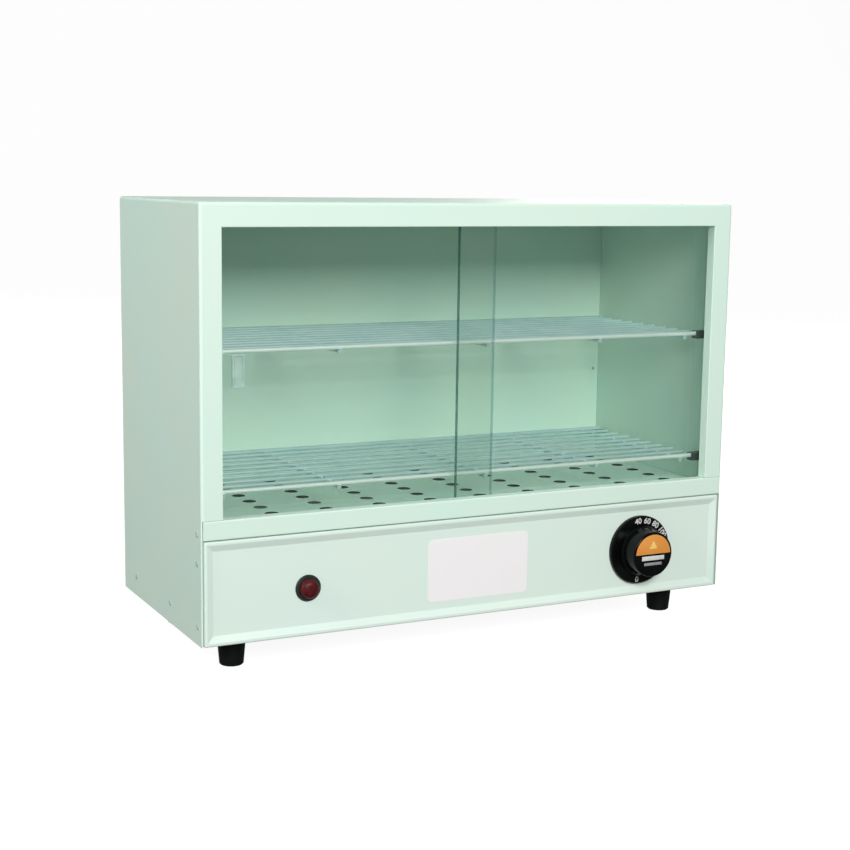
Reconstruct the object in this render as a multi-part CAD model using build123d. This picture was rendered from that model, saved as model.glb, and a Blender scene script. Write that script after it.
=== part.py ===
from build123d import *
import os

# Countertop hot food display case: a folded steel cabinet on four rubber feet, with two
# sliding glass panes, two lift-out wire shelves and a heated base with a thermostat.
# Millimetres. X runs along the width, Y towards the back and Z up. The origin is on the
# surface that the feet stand on, midway between the sides, the knob and the cord gland.

# Cabinet
width = 508.0
depth = 216.0
body_height = 356.0
foot_height = 28.0
sheet = 1.0
bend = 2.5
stile_width = 18.5
top_rail_height = 19.8
return_depth = 10.0
rear_flange = 12.0
seam = 0.3

front_y = -depth / 2
back_y = depth / 2
half_width = width / 2
wall_x = half_width - sheet
body_bottom = foot_height
body_top = foot_height + body_height
opening_half = half_width - stile_width
opening_top = body_top - top_rail_height
shell_back = back_y - sheet
inner_back = shell_back - sheet

# Heated base
panel_height = 86.8
panel_gap = 0.8
panel_half = wall_x - panel_gap
panel_flange = 20.0
panel_lip = 3.0
panel_bevel = 5.5
panel_recess = 2.5
panel_top = body_bottom + panel_height
field_y = front_y + panel_recess
field_back_y = field_y + 1.1
rail_bottom = body_bottom + 87.6
rail_top = body_bottom + 103.7
rail_gap = 0.5
rail_half = wall_x - rail_gap
rail_tab_y = front_y + 17.0
base_flange = 20.0
base_front_y = front_y + return_depth + seam
deck_top = body_bottom + 95.0
deck_bottom = deck_top - sheet
deck_front_y = front_y + 10.3
deck_flange = 12.0
hole_radius = 6.0
hole_columns = 10
hole_column_pitch = 50.0
hole_rows = 6
hole_row_pitch = 27.0
first_row_y = -59.0

# Sliding glass: two panes in twin channels, the right pane in the front slot
glass = 4.0
pane_width = 270.4
pane_overlap = 39.0
track_wall = 1.2
track_slot = 4.6
track_web = 2.2
track_floor = 1.0
bottom_track_height = 4.5
top_track_height = 16.5
track_front_y = deck_front_y
front_slot_y = track_front_y + track_wall + track_slot / 2
rear_slot_y = front_slot_y + track_slot + track_web
track_back_y = rear_slot_y + track_slot / 2 + track_wall
track_half = rail_half - sheet - seam
glass_bottom = deck_top + track_floor + 0.3
glass_top = body_top - sheet - top_track_height + 8.0
pull_width = 11.0
pull_height = 28.0
pull_thick = 2.2
pull_x = -216.0
pull_z = body_bottom + 221.0

# Wire shelves
upper_shelf_z = body_bottom + 236.0
lower_shelf_z = body_bottom + 121.0
rim_radius = 2.0
wire_radius = 1.5
shelf_front_y = -81.0
shelf_back_y = 90.0
long_wires = 10
rim_half = 246.0
end_bar_x = 226.0
cross_bar_xs = (-end_bar_x, -123.0, 18.0, 133.0, end_bar_x)
bar_overlap = 0.3
bracket_reach = 16.0
bracket_width = 8.0
bracket_slot = 4.8
bracket_drop = 4.6
bracket_rise = 2.4
ledge_reach = 11.0

# Feet
foot_inset = 38.7
foot_x = half_width - foot_inset
foot_y = back_y - foot_inset
foot_top_radius = 12.5
foot_base_radius = 10.2
foot_recess_radius = 6.2
foot_recess = 12.0
foot_screw_radius = 2.5
foot_nut_radius = 4.6

# Thermostat and its knob, set in the right of the control panel
stat_x = 165.5
stat_z = body_bottom + 42.4
dial_radius = 31.5
dial_front_y = front_y - 2.0
knob_back_y = dial_front_y - 0.4
knob_reach = 22.0
knob_face_y = front_y - knob_reach
knob_base_radius = 23.0
knob_face_radius = 20.5
knob_skirt = 2.5
knob_shoulder = 1.6
badge_radius = 18.7
badge_thick = 0.6
shaft_radius = 3.0
shaft_fit = 0.05
stat_half_x = 20.0
stat_half_z = 16.0
stat_back_y = -70.0
stat_screw_pitch = 28.0
stat_tab_y = stat_back_y + 8.0
bulb_z = deck_bottom - 7.0
bulb_radius = 3.0
bulb_x0 = -20.0
bulb_x1 = 70.0

# Pilot lamp, set in the left of the control panel
lamp_x = -161.4
lamp_z = body_bottom + 40.1
lamp_flange_radius = 11.2
lamp_flange = 2.0
lamp_barrel_radius = 8.0
lamp_back_y = -72.0
lens_radius = 8.2
lens_reach = 7.0

# Plain label, stuck to the middle of the control panel
label_x = -1.0
label_width = 98.0
label_height = 55.0
label_thick = 0.25

# Heater and wiring inside the base
heater_radius = 4.0
heater_leg_y = 40.0
heater_z = 82.0
heater_left_x = -190.0
heater_right_x = 120.0
heater_stud_x = heater_right_x + 20.0
heater_bracket_xs = (-120.0, 70.0)
heater_bracket_thick = 1.5
block_x = 185.0
block_y = 50.0
block_size = (24.0, 46.0, 20.0)
block_floor = body_bottom + sheet
block_left = block_x - block_size[0] / 2
block_wire_z = block_floor + 8.0
way_pitch = block_size[1] / 3.2
earth_x = 160.0
earth_y = 85.0
gland_x = 205.0
gland_z = body_bottom + 47.0
gland_reach = 22.0
gland_bore = 4.0
gland_thread_radius = 8.0
wire_size = 1.3

# Rivets along each side, as distances along Y and up Z
side_rivets = ((71.0, 45.7), (-26.0, 45.7), (-97.3, 43.0), (-97.3, 95.4), (-97.3, 119.6))
rivet_radius = 1.6
rivet_head_radius = 3.0
rivet_head = 0.9
rear_screw_radius = 1.6
rear_screw_head_radius = 3.6


def block(x0, x1, y0, y1, z0, z1):
    """A box between two corners."""
    place = Pos((x0 + x1) / 2, (y0 + y1) / 2, (z0 + z1) / 2)
    return place * Box(x1 - x0, y1 - y0, z1 - z0)


def rod_x(x0, x1, y, z, radius):
    """A round bar along X."""
    return Pos((x0 + x1) / 2, y, z) * Rot(0, 90, 0) * Cylinder(radius, x1 - x0)


def rod_y(x, y0, y1, z, radius):
    """A round bar along Y."""
    return Pos(x, (y0 + y1) / 2, z) * Rot(90, 0, 0) * Cylinder(radius, y1 - y0)


def rod_z(x, y, z0, z1, radius):
    """A round bar along Z."""
    return Pos(x, y, (z0 + z1) / 2) * Cylinder(radius, z1 - z0)


def hex_z(x, y, z0, z1, radius):
    """A hexagonal bar along Z, with its corners at the radius."""
    section = Pos(x, y, z0) * RegularPolygon(radius, 6)
    return extrude(section, z1 - z0, dir=(0, 0, 1))


def hex_y(x, y0, y1, z, radius):
    """A hexagonal bar along Y, with its corners at the radius."""
    section = Plane((x, y0, z), x_dir=(1, 0, 0), z_dir=(0, 1, 0)) * RegularPolygon(radius, 6)
    return extrude(section, y1 - y0, dir=(0, 1, 0))


def edges_along(shape, axis, x=None, y=None, z=None):
    """The straight edges along an axis whose middle lies at the given places."""
    chosen = []
    for edge in shape.edges().filter_by(axis):
        middle = edge.center()
        near_x = x is None or abs(abs(middle.X) - x) < 0.01
        near_y = y is None or abs(middle.Y - y) < 0.01
        near_z = z is None or abs(middle.Z - z) < 0.01
        if near_x and near_y and near_z:
            chosen.append(edge)
    return chosen


def both_sides(shape):
    """A shape and its mirror image across the middle of the width."""
    return [shape, mirror(shape, about=Plane.YZ)]


def wire_run(points, radius, bends):
    """A round wire along straight runs joined by tangent arcs."""
    path = FilletPolyline(*points, radius=bends)
    section = Plane(path @ 0, z_dir=path % 0) * Circle(radius)
    return sweep(section, path=path)


def side_rivet_holes():
    """The rivets' holes, right through both sides."""
    return [rod_x(-half_width - 2, half_width + 2, y, z, rivet_radius) for y, z in side_rivets]


def rear_screw_places():
    """Where the rear panel's screws stand, as X, Z and the Y of the face under the head."""
    side_x = half_width - 7.0
    top_z = body_top - 7.0
    low_z = body_bottom + 14.0
    places = []
    for x in (-side_x, side_x):
        for z in (low_z, (low_z + top_z) / 2, top_z):
            places.append((x, z, back_y))
    for x in (-side_x / 3, side_x / 3):
        places.append((x, low_z, shell_back))
        places.append((x, top_z, back_y))
    return places


def rear_screw_holes():
    """The rear screws' holes, through the flanges and the panel between them."""
    return [rod_y(x, inner_back - 2, back_y + 1, z, rear_screw_radius) for x, z, seat in rear_screw_places()]


def make_outer_shell():
    """Sides and top in one fold, with stiles and a top rail folded in at the front."""
    outer = block(-half_width, half_width, front_y, back_y, body_bottom, body_top)
    outer_folds = edges_along(outer, Axis.Z, x=half_width, y=front_y)
    outer_folds += edges_along(outer, Axis.X, y=front_y, z=body_top)
    outer_folds += edges_along(outer, Axis.Y, x=half_width, z=body_top)
    outer = fillet(outer_folds, bend)
    inner_top = body_top - sheet
    inner = block(-wall_x, wall_x, front_y + sheet, back_y, body_bottom, inner_top)
    inner_folds = edges_along(inner, Axis.Z, x=wall_x, y=front_y + sheet)
    inner_folds += edges_along(inner, Axis.X, y=front_y + sheet, z=inner_top)
    inner_folds += edges_along(inner, Axis.Y, x=wall_x, z=inner_top)
    inner = fillet(inner_folds, bend - sheet)
    shell = outer - inner
    past = front_y - 1
    skin_back = front_y + sheet + 0.1
    shell -= block(-opening_half, opening_half, past, skin_back, rail_top, opening_top)
    shell -= block(-wall_x, wall_x, past, front_y + bend, body_bottom, rail_top + seam)
    stile_return = block(
        opening_half, opening_half + sheet, front_y, front_y + return_depth, rail_top + seam, opening_top + sheet
    )
    for flange in both_sides(stile_return):
        shell += flange
    shell += block(
        -opening_half, opening_half, front_y, front_y + return_depth, opening_top, opening_top + sheet
    )
    mouth_folds = edges_along(shell, Axis.Z, x=opening_half, y=front_y)
    mouth_folds += edges_along(shell, Axis.X, y=front_y, z=opening_top)
    shell = fillet(mouth_folds, sheet * 0.8)
    side_flange = block(wall_x - rear_flange, wall_x, shell_back, back_y, body_bottom, inner_top)
    for flange in both_sides(side_flange):
        shell += flange
    shell += block(-wall_x, wall_x, shell_back, back_y, inner_top - rear_flange, inner_top)
    shell -= side_rivet_holes()
    shell -= rear_screw_holes()
    return shell


def make_rear_panel():
    """Flat sheet screwed to the inside of the shell's rear flanges, with a hole for the cord gland."""
    edge_x = wall_x - seam
    panel = block(-edge_x, edge_x, inner_back, shell_back, body_bottom + seam, body_top - sheet - seam)
    panel = fillet(edges_along(panel, Axis.Y, x=edge_x), bend)
    panel -= rod_y(gland_x, inner_back - 1, back_y + 1, gland_z, gland_thread_radius + 0.1)
    panel -= rear_screw_holes()
    return panel


def make_control_panel():
    """Base front with a raised lip and a bevel around a recessed field."""
    middle_z = (body_bottom + panel_top) / 2
    outer = block(-panel_half, panel_half, front_y, front_y + panel_flange, body_bottom, panel_top)
    outer = fillet(edges_along(outer, Axis.Z, x=panel_half, y=front_y), bend)
    outer = fillet(edges_along(outer, Axis.X, y=front_y), sheet * 1.4)
    inner = block(
        -panel_half + sheet, panel_half - sheet,
        front_y + sheet, front_y + panel_flange + 1,
        body_bottom + sheet, panel_top - sheet,
    )
    panel = outer - inner
    deep_flange = front_y + return_depth
    panel -= block(
        -panel_half + sheet, panel_half - sheet,
        deep_flange, front_y + panel_flange + 1,
        body_bottom - 1, panel_top + 1,
    )
    lip_width = 2 * (panel_half - panel_lip)
    lip_height = panel_height - 2 * panel_lip
    field_width = lip_width - 2 * panel_bevel
    field_height = lip_height - 2 * panel_bevel
    back_shift = field_back_y - field_y
    face = {"x_dir": (1, 0, 0), "z_dir": (0, 1, 0)}

    def bevel_block(shift):
        mouth = Plane((0, front_y + shift, middle_z), **face) * Rectangle(lip_width, lip_height)
        floor = Plane((0, field_y + shift, middle_z), **face) * Rectangle(field_width, field_height)
        return loft([mouth, floor])

    backing = block(
        -lip_width / 2, lip_width / 2,
        front_y, front_y + back_shift,
        middle_z - lip_height / 2, middle_z + lip_height / 2,
    )
    panel += backing
    panel += bevel_block(back_shift)
    panel -= bevel_block(0)
    through = (front_y - 1, field_back_y + 1)
    panel -= rod_y(stat_x, *through, stat_z, 5.0)
    for x in (stat_x - stat_screw_pitch / 2, stat_x + stat_screw_pitch / 2):
        panel -= rod_y(x, *through, stat_z, 2.1)
    panel -= rod_y(lamp_x, *through, lamp_z, lamp_barrel_radius + 0.1)
    panel -= side_rivet_holes()
    return panel


def make_bottom_rail():
    """Channel below the glass, with a tab turned back at each end."""
    rail = block(-rail_half, rail_half, front_y, front_y + return_depth, rail_bottom, rail_top)
    rail = fillet(edges_along(rail, Axis.X, y=front_y), sheet * 1.2)
    rail -= block(
        -rail_half - 1, rail_half + 1,
        front_y + sheet, front_y + return_depth + 1,
        rail_bottom + sheet, rail_top - sheet,
    )
    tab = block(rail_half - sheet, rail_half, front_y + sheet, rail_tab_y, rail_bottom + sheet, rail_top - sheet)
    for side_tab in both_sides(tab):
        rail += side_tab
    rail -= side_rivet_holes()
    return rail


def make_base_plate():
    """Bottom cover with flanges turned up at the sides and the back."""
    flange_top = body_bottom + base_flange
    edge_x = wall_x - seam
    flange_back_x = wall_x - rear_flange - 0.5
    plate = block(-edge_x, edge_x, base_front_y, inner_back, body_bottom, body_bottom + sheet)
    plate -= both_sides(block(
        panel_half - sheet - seam, edge_x + 1, base_front_y - 1, front_y + panel_flange + seam,
        body_bottom - 1, flange_top,
    ))
    side = block(
        edge_x - sheet, edge_x, front_y + panel_flange + seam, inner_back, body_bottom, flange_top
    )
    for flange in both_sides(side):
        plate += flange
    plate += block(-flange_back_x, flange_back_x, inner_back - sheet, inner_back, body_bottom, flange_top)
    for x in (-foot_x, foot_x):
        for y in (-foot_y, foot_y):
            plate -= rod_z(x, y, body_bottom - 1, body_bottom + 2, foot_screw_radius + 0.1)
    for x, y in bracket_screw_places():
        plate -= rod_z(x, y, body_bottom - 1, body_bottom + 2, rear_screw_radius)
    plate -= rod_z(earth_x, earth_y, body_bottom - 1, body_bottom + 2, 2.1)
    plate -= side_rivet_holes()
    plate -= rear_screw_holes()
    return plate


def make_deck_plate():
    """Perforated floor of the cabinet, above the heater."""
    edge_x = wall_x - seam
    deck_back = inner_back - seam
    deck = block(-edge_x, edge_x, deck_front_y, deck_back, deck_bottom, deck_top)
    flange_front = front_y + panel_flange + seam
    side = block(edge_x - sheet, edge_x, flange_front, deck_back, deck_top - deck_flange, deck_top)
    for flange in both_sides(side):
        deck += flange
    deck += block(-edge_x + 5, edge_x - 5, deck_back - sheet, deck_back, deck_top - deck_flange, deck_top)
    deck -= both_sides(block(
        rail_half - sheet - seam, edge_x + 1, deck_front_y - 1, flange_front, deck_bottom - 1, deck_top + 1
    ))
    first_column_x = -hole_column_pitch * (hole_columns - 1) / 2
    holes = []
    for column in range(hole_columns):
        for row in range(hole_rows):
            x = first_column_x + column * hole_column_pitch
            y = first_row_y + row * hole_row_pitch
            holes.append(rod_z(x, y, deck_bottom - 1, deck_top + 1, hole_radius))
    deck -= holes
    return deck


def make_track(z0, z1, slots_up):
    """Twin channel, with its two slots open upwards or downwards."""
    track = block(-track_half, track_half, track_front_y, track_back_y, z0, z1)
    slot_low = z0 + track_floor if slots_up else z0 - 1
    slot_high = z1 + 1 if slots_up else z1 - track_floor
    for slot_y in (front_slot_y, rear_slot_y):
        track -= block(
            -track_half - 1, track_half + 1,
            slot_y - track_slot / 2, slot_y + track_slot / 2,
            slot_low, slot_high,
        )
    return track


def make_bottom_track():
    """Bottom channel, lying on the deck behind the rail."""
    return make_track(deck_top, deck_top + bottom_track_height, True)


def make_top_track():
    """Deeper top channel under the roof, which lets a pane lift out."""
    roof = body_top - sheet
    return make_track(roof - top_track_height, roof, False)


def make_pane(inner_x, outer_x, slot_y):
    """One glass pane with ground edges."""
    low_x = min(inner_x, outer_x)
    pane = block(low_x, low_x + pane_width, slot_y - glass / 2, slot_y + glass / 2, glass_bottom, glass_top)
    return chamfer(pane.edges(), 0.4)


def make_left_glass():
    """Left pane, in the rear slot."""
    inner_x = pane_overlap / 2
    return make_pane(inner_x, inner_x - pane_width, rear_slot_y)


def make_right_glass():
    """Right pane, in the front slot."""
    inner_x = -pane_overlap / 2
    return make_pane(inner_x, inner_x + pane_width, front_slot_y)


def make_left_pull():
    """Finger pull stuck to the left pane's front face."""
    face = rear_slot_y - glass / 2
    pull = block(
        pull_x - pull_width / 2, pull_x + pull_width / 2,
        face - pull_thick, face,
        pull_z - pull_height / 2, pull_z + pull_height / 2,
    )
    pull = fillet(edges_along(pull, Axis.Y), 1.5)
    return chamfer(pull.faces().sort_by(Axis.Y)[0].edges(), 0.6)


def make_shelf(z):
    """Wire rack: long wires welded on top of the cross bars, inside a heavier rim."""
    bar_z = z - wire_radius - rim_radius + bar_overlap
    shelf = None
    pitch = (shelf_back_y - shelf_front_y) / (long_wires - 1)
    for number in range(long_wires):
        y = shelf_front_y + number * pitch
        is_rim = number in (0, long_wires - 1)
        radius = rim_radius if is_rim else wire_radius
        half = rim_half if is_rim else rim_half - 2
        wire = rod_x(-half, half, y, z, radius)
        shelf = wire if shelf is None else shelf + wire
    for x in cross_bar_xs:
        shelf += rod_y(x, shelf_front_y - 0.5, shelf_back_y + 0.5, bar_z, rim_radius)
    return shelf


def make_upper_shelf():
    """Upper wire shelf."""
    return make_shelf(upper_shelf_z)


def make_lower_shelf():
    """Lower wire shelf."""
    return make_shelf(lower_shelf_z)


def make_shelf_brackets(z):
    """Forked brackets, open at the top, at a shelf's front rim and plain ledges under its back rim."""
    brackets = []
    half = bracket_width / 2
    slot_half = bracket_slot / 2
    rest_z = z - rim_radius - seam
    low_z = z - bracket_drop
    inner_x = wall_x - bracket_reach
    fork = block(inner_x, wall_x, shelf_front_y - half, shelf_front_y + half, low_z, z + bracket_rise)
    fork -= block(
        inner_x - 1, wall_x + 1, shelf_front_y - slot_half, shelf_front_y + slot_half, rest_z, z + bracket_rise + 1
    )
    ledge = block(wall_x - ledge_reach, wall_x, shelf_back_y - half, shelf_back_y + half, low_z, rest_z)
    brackets += both_sides(fork)
    brackets += both_sides(fillet(edges_along(ledge, Axis.Z, x=wall_x - ledge_reach), 1.5))
    return Compound(children=brackets)


def make_upper_brackets():
    """Brackets of the upper shelf."""
    return make_shelf_brackets(upper_shelf_z)


def make_lower_brackets():
    """Brackets of the lower shelf."""
    return make_shelf_brackets(lower_shelf_z)


def make_foot(x, y):
    """Tapered rubber foot with a recess for its screw."""
    recess = foot_recess
    profile = Polyline(
        (foot_screw_radius + 0.1, recess), (foot_recess_radius, recess), (foot_recess_radius, 0.0),
        (foot_base_radius - 1.0, 0.0), (foot_base_radius, 1.0), (foot_top_radius, foot_height - 1.0),
        (foot_top_radius - 1.0, foot_height), (foot_screw_radius + 0.1, foot_height), close=True,
    )
    section = Plane.XZ * make_face(profile)
    return Pos(x, y, 0) * revolve(section, Axis.Z)


def foot_places():
    """Where the feet stand, by node name."""
    return {
        "foot_front_left": (-foot_x, -foot_y),
        "foot_front_right": (foot_x, -foot_y),
        "foot_rear_left": (-foot_x, foot_y),
        "foot_rear_right": (foot_x, foot_y),
    }


def make_foot_screws():
    """Screws that hold the feet to the base plate."""
    screws = []
    head_top = foot_recess - 1.2
    for x, y in foot_places().values():
        screw = rod_z(x, y, head_top - 3.5, head_top, 4.4)
        screw += rod_z(x, y, head_top - 0.5, body_bottom + 8, foot_screw_radius)
        screw -= rod_z(x, y, head_top - 4, head_top - 2, 1.6)
        screws.append(screw)
    return Compound(children=screws)


def make_foot_washers():
    """Steel washers that spread the screws' load in the rubber."""
    washers = []
    for x, y in foot_places().values():
        washer = rod_z(x, y, foot_recess - 1.2, foot_recess, foot_recess_radius - 0.3)
        washer -= rod_z(x, y, foot_recess - 2, foot_recess + 1, foot_screw_radius + 0.1)
        washers.append(washer)
    return Compound(children=washers)


def make_foot_nuts():
    """Nuts on top of the base plate."""
    nuts = []
    floor = body_bottom + sheet
    for x, y in foot_places().values():
        nut = hex_z(x, y, floor, floor + 4.0, foot_nut_radius)
        nut -= rod_z(x, y, floor - 1, floor + 5, foot_screw_radius + 0.02)
        nuts.append(nut)
    return Compound(children=nuts)


def make_dial_plate():
    """Dished disc behind the knob, which covers the thermostat's screws."""
    dial = rod_y(stat_x, dial_front_y, field_y, stat_z, dial_radius)
    dial = chamfer(dial.faces().sort_by(Axis.Y)[0].edges(), 1.2)
    dial -= rod_y(stat_x, field_y - 2.6, field_y + 1, stat_z, dial_radius - 7)
    dial -= rod_y(stat_x, dial_front_y - 1, field_y, stat_z, 5.0)
    return dial


def make_knob():
    """Round knob with a rounded shoulder, a recessed face and a bored hub."""
    length = knob_back_y - knob_face_y
    profile = Polyline(
        (0, 0), (knob_base_radius, 0), (knob_base_radius, knob_skirt),
        (knob_base_radius - 1.2, knob_skirt + 1.5), (knob_face_radius, length), (0, length), close=True,
    )
    turned = revolve(Plane.XZ * make_face(profile), Axis.Z)
    knob = Pos(stat_x, knob_back_y, stat_z) * Rot(90, 0, 0) * turned
    knob = fillet(knob.faces().sort_by(Axis.Y)[0].edges(), knob_shoulder)
    knob -= rod_y(stat_x, knob_face_y - 1, knob_face_y + badge_thick, stat_z, badge_radius + 0.1)
    knob -= rod_y(stat_x, knob_back_y - 12, knob_back_y + 1, stat_z, shaft_radius + shaft_fit)
    hollow = rod_y(stat_x, knob_back_y - 9, knob_back_y + 1, stat_z, knob_face_radius - 3)
    hollow -= rod_y(stat_x, knob_back_y - 10, knob_back_y + 2, stat_z, shaft_radius + 3)
    knob -= hollow
    return knob


def make_knob_badge():
    """Printed disc let into the knob's face."""
    return rod_y(stat_x, knob_face_y, knob_face_y + badge_thick, stat_z, badge_radius)


def make_thermostat_shaft():
    """Shaft between the thermostat and the knob, with a flat for the knob."""
    tip = knob_back_y - 11.5
    shaft = rod_y(stat_x, tip, field_back_y + 9, stat_z, shaft_radius)
    flat_z = stat_z + shaft_radius - 1.0
    shaft -= block(stat_x - 5, stat_x + 5, tip - 1, knob_back_y - 2, flat_z, flat_z + 5)
    return shaft


def make_thermostat_body():
    """Thermostat switch behind the control panel, with a bush and two tabs."""
    body = block(
        stat_x - stat_half_x, stat_x + stat_half_x, field_back_y, stat_back_y,
        stat_z - stat_half_z, stat_z + stat_half_z,
    )
    body = fillet(edges_along(body, Axis.Y), 3.0)
    body += rod_y(stat_x, field_y - 1.5, field_back_y + 1, stat_z, 4.6)
    body -= rod_y(stat_x, field_y - 3, field_back_y + 10, stat_z, shaft_radius + shaft_fit)
    for x in (stat_x - stat_screw_pitch / 2, stat_x + stat_screw_pitch / 2):
        body -= rod_y(x, field_back_y - 1, field_back_y + 7, stat_z, 2.0)
    for x in (stat_x - 9, stat_x + 9):
        body += block(x - 3, x + 3, stat_back_y - 1, stat_back_y + 8, stat_z - 0.4, stat_z + 0.4)
    return body


def make_thermostat_screws():
    """Two screws through the control panel into the thermostat."""
    screws = []
    for x in (stat_x - stat_screw_pitch / 2, stat_x + stat_screw_pitch / 2):
        screw = rod_y(x, field_y - 2.0, field_y, stat_z, 3.6)
        screw += rod_y(x, field_y - 0.5, field_back_y + 6, stat_z, 1.98)
        screws.append(screw)
    return Compound(children=screws)


def make_thermostat_bulb():
    """Sensing bulb under the deck, with the fine tube back to the thermostat."""
    bulb = rod_x(bulb_x0, bulb_x1, 0, bulb_z, bulb_radius)
    tube_radius = 0.9
    top = stat_z + stat_half_z
    points = [
        (bulb_x1 - 1, 0, bulb_z), (bulb_x1 + 35, 0, bulb_z), (stat_x - 12, -40, bulb_z),
        (stat_x - 12, stat_back_y - 16, bulb_z), (stat_x - 12, stat_back_y - 16, top),
    ]
    return bulb + wire_run(points, tube_radius, 10.0)


def make_bulb_clips():
    """Two spring clips that hold the bulb under the deck."""
    clips = []
    for x in (bulb_x0 + 20, bulb_x1 - 20):
        clip = block(x - 4, x + 4, -5, 5, bulb_z - 4.2, deck_bottom)
        clip -= rod_x(x - 5, x + 5, 0, bulb_z, bulb_radius + 0.1)
        clip -= block(x - 5, x + 5, -2.5, 2.5, bulb_z - 5, bulb_z)
        clips.append(clip)
    return Compound(children=clips)


def make_lamp_housing():
    """Pilot lamp's flange and barrel."""
    flange_front = field_y - lamp_flange
    housing = rod_y(lamp_x, flange_front, field_y, lamp_z, lamp_flange_radius)
    housing = chamfer(housing.faces().sort_by(Axis.Y)[0].edges(), 0.8)
    housing += rod_y(lamp_x, field_y - 0.5, lamp_back_y, lamp_z, lamp_barrel_radius)
    housing -= rod_y(lamp_x, flange_front - 1, lamp_back_y - 3, lamp_z, lamp_barrel_radius - 1.2)
    for x in (lamp_x - 4, lamp_x + 4):
        housing += block(x - 0.4, x + 0.4, lamp_back_y - 1, lamp_back_y + 7, lamp_z - 2.4, lamp_z + 2.4)
    return housing


def make_lamp_lens():
    """Domed red lens with a spigot in the barrel."""
    flange_front = field_y - lamp_flange
    lens = rod_y(lamp_x, flange_front - lens_reach, flange_front, lamp_z, lens_radius)
    lens = fillet(lens.faces().sort_by(Axis.Y)[0].edges(), 3.0)
    lens += rod_y(lamp_x, flange_front - 0.5, field_y + 3, lamp_z, lamp_barrel_radius - 1.3)
    lens -= rod_y(lamp_x, flange_front - lens_reach + 2.5, field_y + 4, lamp_z, 4.6)
    return lens


def make_lamp_bulb():
    """Neon bulb inside the lamp."""
    back = lamp_back_y - 3
    bulb = rod_y(lamp_x, field_y - 4, back, lamp_z, 3.0)
    return fillet(bulb.faces().sort_by(Axis.Y)[0].edges(), 2.5)


def make_lamp_nut():
    """Nut that clamps the lamp behind the panel."""
    nut = hex_y(lamp_x, field_back_y, field_back_y + 4, lamp_z, 12.0)
    nut -= rod_y(lamp_x, field_back_y - 1, field_back_y + 5, lamp_z, lamp_barrel_radius + 0.02)
    return nut


def make_front_label():
    """Thin blank label with rounded corners."""
    label = block(
        label_x - label_width / 2, label_x + label_width / 2,
        field_y - label_thick, field_y,
        stat_z - label_height / 2, stat_z + label_height / 2,
    )
    return fillet(edges_along(label, Axis.Y), 4.0)


def make_heating_element():
    """Hairpin tubular heater with an insulator and a stud at each end."""
    points = [
        (heater_right_x, -heater_leg_y, heater_z), (heater_left_x, -heater_leg_y, heater_z),
        (heater_left_x, heater_leg_y, heater_z), (heater_right_x, heater_leg_y, heater_z),
    ]
    element = wire_run(points, heater_radius, heater_leg_y - 8)
    for y in (-heater_leg_y, heater_leg_y):
        element += rod_x(heater_right_x - 1, heater_right_x + 9, y, heater_z, heater_radius + 1)
        element += rod_x(heater_right_x + 8, heater_right_x + 20, y, heater_z, 1.8)
    return element


def bracket_screw_places():
    """Where the heater brackets are screwed down, as X and Y."""
    return [(x + 8, y) for x in heater_bracket_xs for y in (-25.0, 25.0)]


def make_heater_brackets():
    """Two folded brackets that carry the heater over the base plate."""
    brackets = []
    half = heater_leg_y + 12
    floor = body_bottom + sheet
    for x in heater_bracket_xs:
        bracket = block(x, x + heater_bracket_thick, -half, half, floor, heater_z + 10)
        bracket += block(x, x + 15, -half, half, floor, floor + heater_bracket_thick)
        bracket -= block(x - 1, x + 3, -heater_leg_y + 12, heater_leg_y - 12, floor + 15, heater_z + 11)
        for y in (-heater_leg_y, heater_leg_y):
            bracket -= rod_x(x - 1, x + 3, y, heater_z, heater_radius + 0.2)
        brackets.append(bracket)
    holes = [rod_z(x, y, floor - 1, floor + 3, rear_screw_radius) for x, y in bracket_screw_places()]
    return Compound(children=[bracket - holes for bracket in brackets])


def make_bracket_screws():
    """Screws that hold the heater brackets to the base plate."""
    screws = []
    seat = body_bottom + sheet + heater_bracket_thick
    for x, y in bracket_screw_places():
        screw = rod_z(x, y, seat, seat + 2.2, 3.4)
        screw += rod_z(x, y, body_bottom - 2, seat + 0.5, rear_screw_radius - 0.02)
        screws.append(screw)
    return Compound(children=screws)


def make_terminal_block():
    """Ceramic terminal block on the base plate, with three ways."""
    size_x, size_y, size_z = block_size
    body = block(
        block_x - size_x / 2, block_x + size_x / 2, block_y - size_y / 2, block_y + size_y / 2,
        block_floor, block_floor + size_z,
    )
    body = fillet(edges_along(body, Axis.Z), 1.5)
    for way in (-1, 0, 1):
        y = block_y + way * size_y / 3.2
        body -= rod_x(block_x - 20, block_x + 20, y, block_floor + 8, 2.4)
        for x in (block_x - 6, block_x + 6):
            body -= rod_z(x, y, block_floor + 9, block_floor + size_z + 1, 3.0)
    return body


def make_cord_gland():
    """Cord inlet: a flanged bush through the rear panel with a domed outer end."""
    tip = back_y + gland_reach
    gland = rod_y(gland_x, shell_back - 12, tip, gland_z, gland_thread_radius)
    gland += hex_y(gland_x, shell_back, shell_back + 5, gland_z, 13.0)
    dome = rod_y(gland_x, shell_back + 6, tip, gland_z, 11.0)
    dome = fillet(dome.faces().sort_by(Axis.Y)[-1].edges(), 5.0)
    gland += dome
    gland -= rod_y(gland_x, shell_back - 13, tip + 1, gland_z, gland_bore)
    return gland


def make_gland_nut():
    """Lock nut of the cord gland, inside the rear panel."""
    nut = hex_y(gland_x, inner_back - 5, inner_back, gland_z, 12.5)
    nut -= rod_y(gland_x, inner_back - 6, inner_back + 1, gland_z, gland_thread_radius + 0.02)
    return nut


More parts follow.
